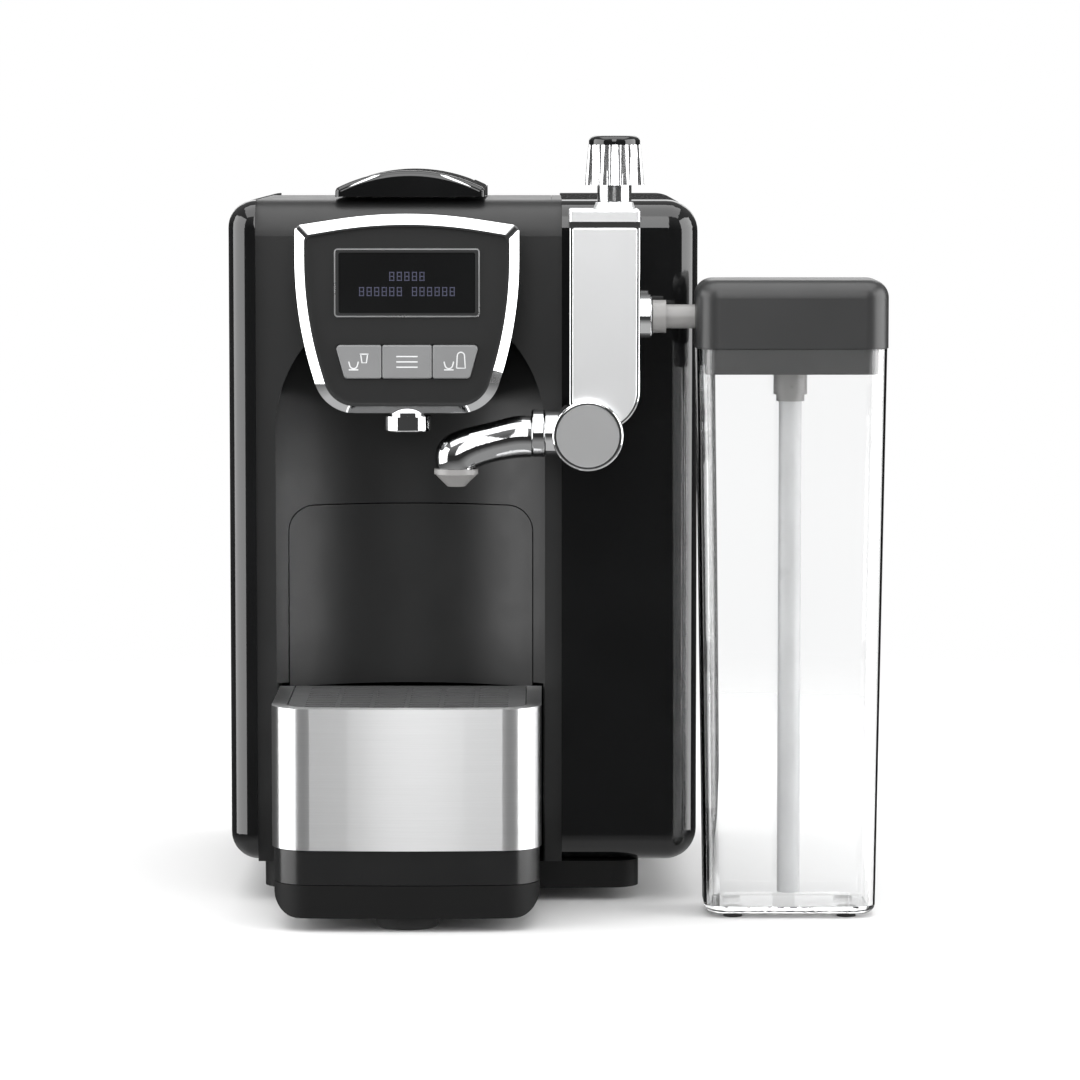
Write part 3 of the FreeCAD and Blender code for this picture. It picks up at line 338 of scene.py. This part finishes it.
def lever_crescents():
    """Two chrome crescents let into the rounded shoulders of the lever's front."""
    half = (lever_high.x - lever_low.x) / 2
    rise = lever_high.z - (lever_low.z + LEVER_EDGE)
    radius = (rise**2 + half**2) / (2 * rise)
    middle = Vector((MID_X, 0, lever_high.z - radius))
    steps = 28
    for name, start, end in (("lever_crescent_left", -CRESCENT_FAR, -CRESCENT_NEAR),
                             ("lever_crescent_right", CRESCENT_NEAR, CRESCENT_FAR)):
        mesh = bmesh.new()
        rings = []
        for i in range(steps + 1):
            along = i / steps
            angle = math.asin((start + (end - start) * along) * MM / radius)
            outward = Vector((math.sin(angle), 0, math.cos(angle)))
            core = middle + outward * (radius - LEVER_ROUND)
            core.y = lever_low.y + LEVER_ROUND
            half_width = (0.12 + 1.25 * math.sin(math.pi * along) ** 0.75) * MM
            normal = outward * math.cos(CRESCENT_LEAN) - BACKWARDS * math.sin(CRESCENT_LEAN)
            across = outward * math.sin(CRESCENT_LEAN) + BACKWARDS * math.cos(CRESCENT_LEAN)
            ring = []
            # the face in sight, a little domed, and then the hidden one, the other way round
            for reach, bulge, way in ((LEVER_ROUND + 0.02 * MM, 0.16 * MM, 1),
                                      (LEVER_ROUND - 0.7 * MM, 0, -1)):
                for k in range(-3, 4):
                    share = way * k / 3
                    out = reach + bulge * (1 - share**2)
                    ring.append(core + normal * out + across * half_width * share)
            rings.append(ring)
        loft(mesh, rings)
        piece_from(mesh, name, "lever", CRESCENT)


def ribbon(mesh, points, y, width, height, closed=False):
    """A flat raised line through points (x, z), standing height proud of the plane y."""
    count = len(points)
    lines = []
    for i, (x, z) in enumerate(points):
        if closed or 0 < i < count - 1:
            before, after = points[i - 1], points[(i + 1) % count]
        elif i == 0:
            before, after = points[0], points[1]
        else:
            before, after = points[-2], points[-1]
        run = Vector((after[0] - before[0], 0, after[1] - before[1])).normalized()
        side = Vector((-run.z, 0, run.x)) * width / 2
        left, right = Vector((x, y, z)) - side, Vector((x, y, z)) + side
        proud = Vector((0, -height, 0))
        lines.append([mesh.verts.new(point) for point in (left, right, right + proud, left + proud)])
    pairs = list(zip(lines, lines[1:] + lines[:1])) if closed else list(zip(lines, lines[1:]))
    for before, after in pairs:
        for i in range(4):
            j = (i + 1) % 4
            mesh.faces.new((before[i], before[j], after[j], after[i]))
    if not closed:
        mesh.faces.new(lines[0][::-1])
        mesh.faces.new(lines[-1])


def arc_points(x, z, radius, start, end, steps):
    """Points (x, z) along an arc, its angles in degrees."""
    angles = [math.radians(start + (end - start) * i / steps) for i in range(steps + 1)]
    return [(x + radius * math.cos(a), z + radius * math.sin(a)) for a in angles]


LINE_WIDTH = 0.55 * MM
SUNK = 0.02 * MM                # how deep drawn lines sit in the surface they are on
ICON_UNIT = 2.1 * MM


def button_icons():
    """Line pictograms on the three buttons: a cup under a capsule, a list, and a cup beside a jug."""

    def cup(x, z, size):
        bowl = [(x - size, z + size * 0.75)] + arc_points(x, z + size * 0.1, size * 0.8, 200, 340, 8)
        saucer = [(x - size, z - size * 0.95), (x + size, z - size * 0.95)]
        return [bowl + [(x + size, z + size * 0.75)], saucer]

    def capsule(x, z, size):
        top = [(x - size, z + size), (x + size, z + size)]
        return [top, [(x - size * 0.8, z + size), (x - size * 0.5, z - size), (x + size * 0.5, z - size),
                      (x + size * 0.8, z + size)]]

    def jug(x, z, size):
        neck = arc_points(x, z + size * 0.7, size * 0.5, 180, 0, 8)
        left, right = (x - size * 0.6, z - size), (x + size * 0.6, z - size)
        return [[left] + neck + [right, left]]

    def cup_and_capsule(x, z, unit):
        return (cup(x - unit * 1.1, z - unit * 0.7, unit)
                + capsule(x + unit * 1.1, z + unit * 0.7, unit * 0.9))

    def list_lines(x, z, unit):
        return [[(x - unit * 2.2, z + unit * k), (x + unit * 2.2, z + unit * k)] for k in (-1.1, 0, 1.1)]

    def cup_and_jug(x, z, unit):
        return (cup(x - unit * 1.3, z - unit * 0.7, unit)
                + jug(x + unit * 1.2, z + unit * 0.2, unit * 1.5))

    for node, body, draw in (("button_cup", "cup_button", cup_and_capsule),
                             ("button_menu", "menu_button", list_lines),
                             ("button_milk", "milk_button", cup_and_jug)):
        low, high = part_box(node)
        mesh = bmesh.new()
        for line in draw((low.x + high.x) / 2, (low.z + high.z) / 2, ICON_UNIT):
            ribbon(mesh, line, low.y + SUNK, LINE_WIDTH, 0.09 * MM)
        piece_from(mesh, "icon_" + body, body, ICON)


def display_line():
    """A thin metal line around the display's frame."""
    low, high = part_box("display_frame")
    edge, corner = 0.35 * MM, 1.3 * MM
    left, right, base, top = low.x + edge, high.x - edge, low.z + edge, high.z - edge
    points = []
    for x, z, start in ((right, top, 0), (left, top, 90), (left, base, 180), (right, base, 270)):
        x -= math.copysign(corner, x - (left + right) / 2)
        z -= math.copysign(corner, z - (base + top) / 2)
        points += arc_points(x, z, corner, start, start + 90, 5)
    mesh = bmesh.new()
    ribbon(mesh, points, low.y + SUNK, LINE_WIDTH, 0.14 * MM, closed=True)
    piece_from(mesh, "display_line", "machine", MATERIALS["steel"])


DOT, DOT_PITCH, CELL_PITCH = 0.42 * MM, 0.58 * MM, 3.28 * MM
CELL_COLUMNS, CELL_ROWS = 4, 7
# How many cells each row has, and how far its top is below the window's top.
SHORT_ROW, LONG_ROW = (5, 8.6 * MM), (13, 15.2 * MM)
BLANK_CELL = 6                  # the gap in the long row


def display_characters():
    """Two rows of dim cells on the display window, every cell the same figure of dots."""
    low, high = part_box("display_glass")
    front, back = low.y - 0.03 * MM, low.y + 0.01 * MM
    mesh = bmesh.new()
    for count, drop in (SHORT_ROW, LONG_ROW):
        start = MID_X - CELL_PITCH * (count - 1) / 2
        for cell in range(count):
            if count == LONG_ROW[0] and cell == BLANK_CELL:
                continue
            for i in range(CELL_COLUMNS):
                for j in range(CELL_ROWS):
                    if i in (1, 2) and j in (1, 2, 4, 5):
                        continue
                    x = start + CELL_PITCH * cell + (i - 1.5) * DOT_PITCH
                    z = high.z - drop - j * DOT_PITCH
                    corners = [(x - DOT / 2, z - DOT / 2), (x + DOT / 2, z - DOT / 2),
                               (x + DOT / 2, z + DOT / 2), (x - DOT / 2, z + DOT / 2)]
                    loft(mesh, [[Vector((u, y, w)) for u, w in corners] for y in (back, front)])
    piece_from(mesh, "display_characters", "machine", LIT)


lever_crescents()
button_icons()
display_line()
display_characters()


# ------------------------------------------------------------------ room, light and camera


AIM_HEIGHT = 0.17               # the softboxes point at the machine's axis at this height
# name, degrees to the left of the front, height, distance, size, radiance
SOFTBOXES = (
    ("side_left", 76, 0.42, 1.3, (1.4, 1.3), 3.6),
    ("side_right", -76, 0.42, 1.3, (1.4, 1.3), 4.2),
    ("top", 0, 1.7, 0.35, (2.3, 1.7), 2.5),
    ("front_high", 1.6, 1.3, 2.2, (0.78, 1.9), 3.7),
    ("back", 180, 0.9, 1.6, (1.6, 0.9), 1.5),
)


def area_light(name, azimuth, height, distance, size, radiance):
    """A rectangular softbox, aimed at the machine."""
    lamp = bpy.data.lights.new(name, "AREA")
    lamp.shape = "RECTANGLE"
    lamp.size, lamp.size_y = size
    lamp.energy = radiance * math.pi * size[0] * size[1]
    made = bpy.data.objects.new(name, lamp)
    bpy.context.scene.collection.objects.link(made)
    turn = math.radians(azimuth)
    made.location = (-distance * math.sin(turn), -distance * math.cos(turn), height)
    towards = Vector((0, 0, AIM_HEIGHT)) - made.location
    made.rotation_euler = towards.to_track_quat("-Z", "Y").to_euler()


FLOOR_RADIUS = 2.5


def room():
    """A pale round floor that fades into the white surroundings."""
    mesh = bmesh.new()
    bmesh.ops.create_circle(mesh, cap_ends=True, segments=96, radius=FLOOR_RADIUS)
    data = bpy.data.meshes.new("floor")
    mesh.to_mesh(data)
    mesh.free()
    floor = bpy.data.objects.new("floor", data)
    bpy.context.scene.collection.objects.link(floor)
    floor.visible_glossy = False
    paper = Shader("pale_floor")
    paper.link(paper.colours(paper.noise(3, 2), (0.6, 0.6, 0.6), (0.62, 0.62, 0.62)), "Base Color")
    paper.set(Roughness=0.6)
    distance = paper.node("ShaderNodeVectorMath", Vector=paper.place())
    distance.operation = "LENGTH"
    fade = paper.ramp(distance.outputs["Value"], 0.0, 1.0, 0.28, 0.95)
    clear = paper.node("ShaderNodeBsdfTransparent")
    mix = paper.node("ShaderNodeMixShader", Fac=fade)
    paper.tree.links.new(paper.shader.outputs["BSDF"], mix.inputs[1])
    paper.tree.links.new(clear.outputs["BSDF"], mix.inputs[2])
    paper.tree.links.new(mix.outputs["Shader"], paper.tree.nodes["Material Output"].inputs["Surface"])
    paint(floor, paper.material)


SURROUND_RADIUS = 6.0
# How bright the surroundings are at each angle above the horizon, in degrees.
SURROUND_TONES = (
    (-90, 0.5), (-38, 0.5), (-20, 0.22), (-11, 0.06), (6, 0.05), (18, 0.14), (40, 0.3), (90, 0.34),
)


def surround():
    """What shiny surfaces reflect besides the softboxes: a pale table, a dark horizon, a soft ceiling."""
    mesh = bmesh.new()
    bmesh.ops.create_uvsphere(mesh, u_segments=48, v_segments=32, radius=SURROUND_RADIUS)
    for face in mesh.faces:
        face.smooth = True
    data = bpy.data.meshes.new("surround")
    mesh.to_mesh(data)
    mesh.free()
    made = bpy.data.objects.new("surround", data)
    bpy.context.scene.collection.objects.link(made)
    made.visible_camera = False
    made.visible_diffuse = False
    made.visible_transmission = False
    made.visible_volume_scatter = False
    made.visible_shadow = False
    glow = Shader("surround")
    rise = glow.node("ShaderNodeSeparateXYZ", Vector=glow.place((1 / SURROUND_RADIUS,) * 3))
    level = glow.ramp(rise.outputs["Z"], 0.0, 1.0, -1.0, 1.0)
    tones = glow.node("ShaderNodeValToRGB", Fac=level)
    ramp = tones.color_ramp
    while len(ramp.elements) < len(SURROUND_TONES):
        ramp.elements.new(0.5)
    for element, (angle, tone) in zip(ramp.elements, SURROUND_TONES):
        element.position = (math.sin(math.radians(angle)) + 1) / 2
        element.color = (*grey(tone), 1)
    light = glow.node("ShaderNodeEmission", Color=tones.outputs["Color"], Strength=1.0)
    glow.tree.links.new(light.outputs["Emission"], glow.tree.nodes["Material Output"].inputs["Surface"])
    paint(made, glow.material)


def lighting():
    """An even white world, which shiny surfaces don't see, and the softboxes."""
    world = bpy.data.worlds.new("studio")
    bpy.context.scene.world = world
    world.use_nodes = True
    world.node_tree.nodes["Background"].inputs["Color"].default_value = (1, 1, 1, 1)
    world.node_tree.nodes["Background"].inputs["Strength"].default_value = 1.0
    world.cycles_visibility.glossy = False
    for softbox in SOFTBOXES:
        area_light(*softbox)


CAMERA_ASIDE = 0.0578           # to the right of the column's middle
CAMERA_AWAY = 2.1               # in front of the column's face
CAMERA_HEIGHT = 0.3475
CAMERA_DOWN = 5.03              # degrees below level
FOCAL_LENGTH = 157.5


def camera():
    """The viewpoint: a long lens a little above the top of the machine, looking slightly down."""
    lens = bpy.data.cameras.new("camera")
    lens.sensor_width = 36
    lens.lens = FOCAL_LENGTH
    lens.clip_start, lens.clip_end = 0.05, 20
    made = bpy.data.objects.new("camera", lens)
    bpy.context.scene.collection.objects.link(made)
    made.location = (MID_X + CAMERA_ASIDE, FACE_Y - CAMERA_AWAY, CAMERA_HEIGHT)
    made.rotation_euler = (math.radians(90 - CAMERA_DOWN), 0, 0)
    bpy.context.scene.camera = made


room()
surround()
lighting()
camera()
bpy.context.scene.view_settings.view_transform = "Standard"

for name, node in nodes.items():
    if name in EDGE:
        round_edges(node, EDGE[name])
    smooth(node)
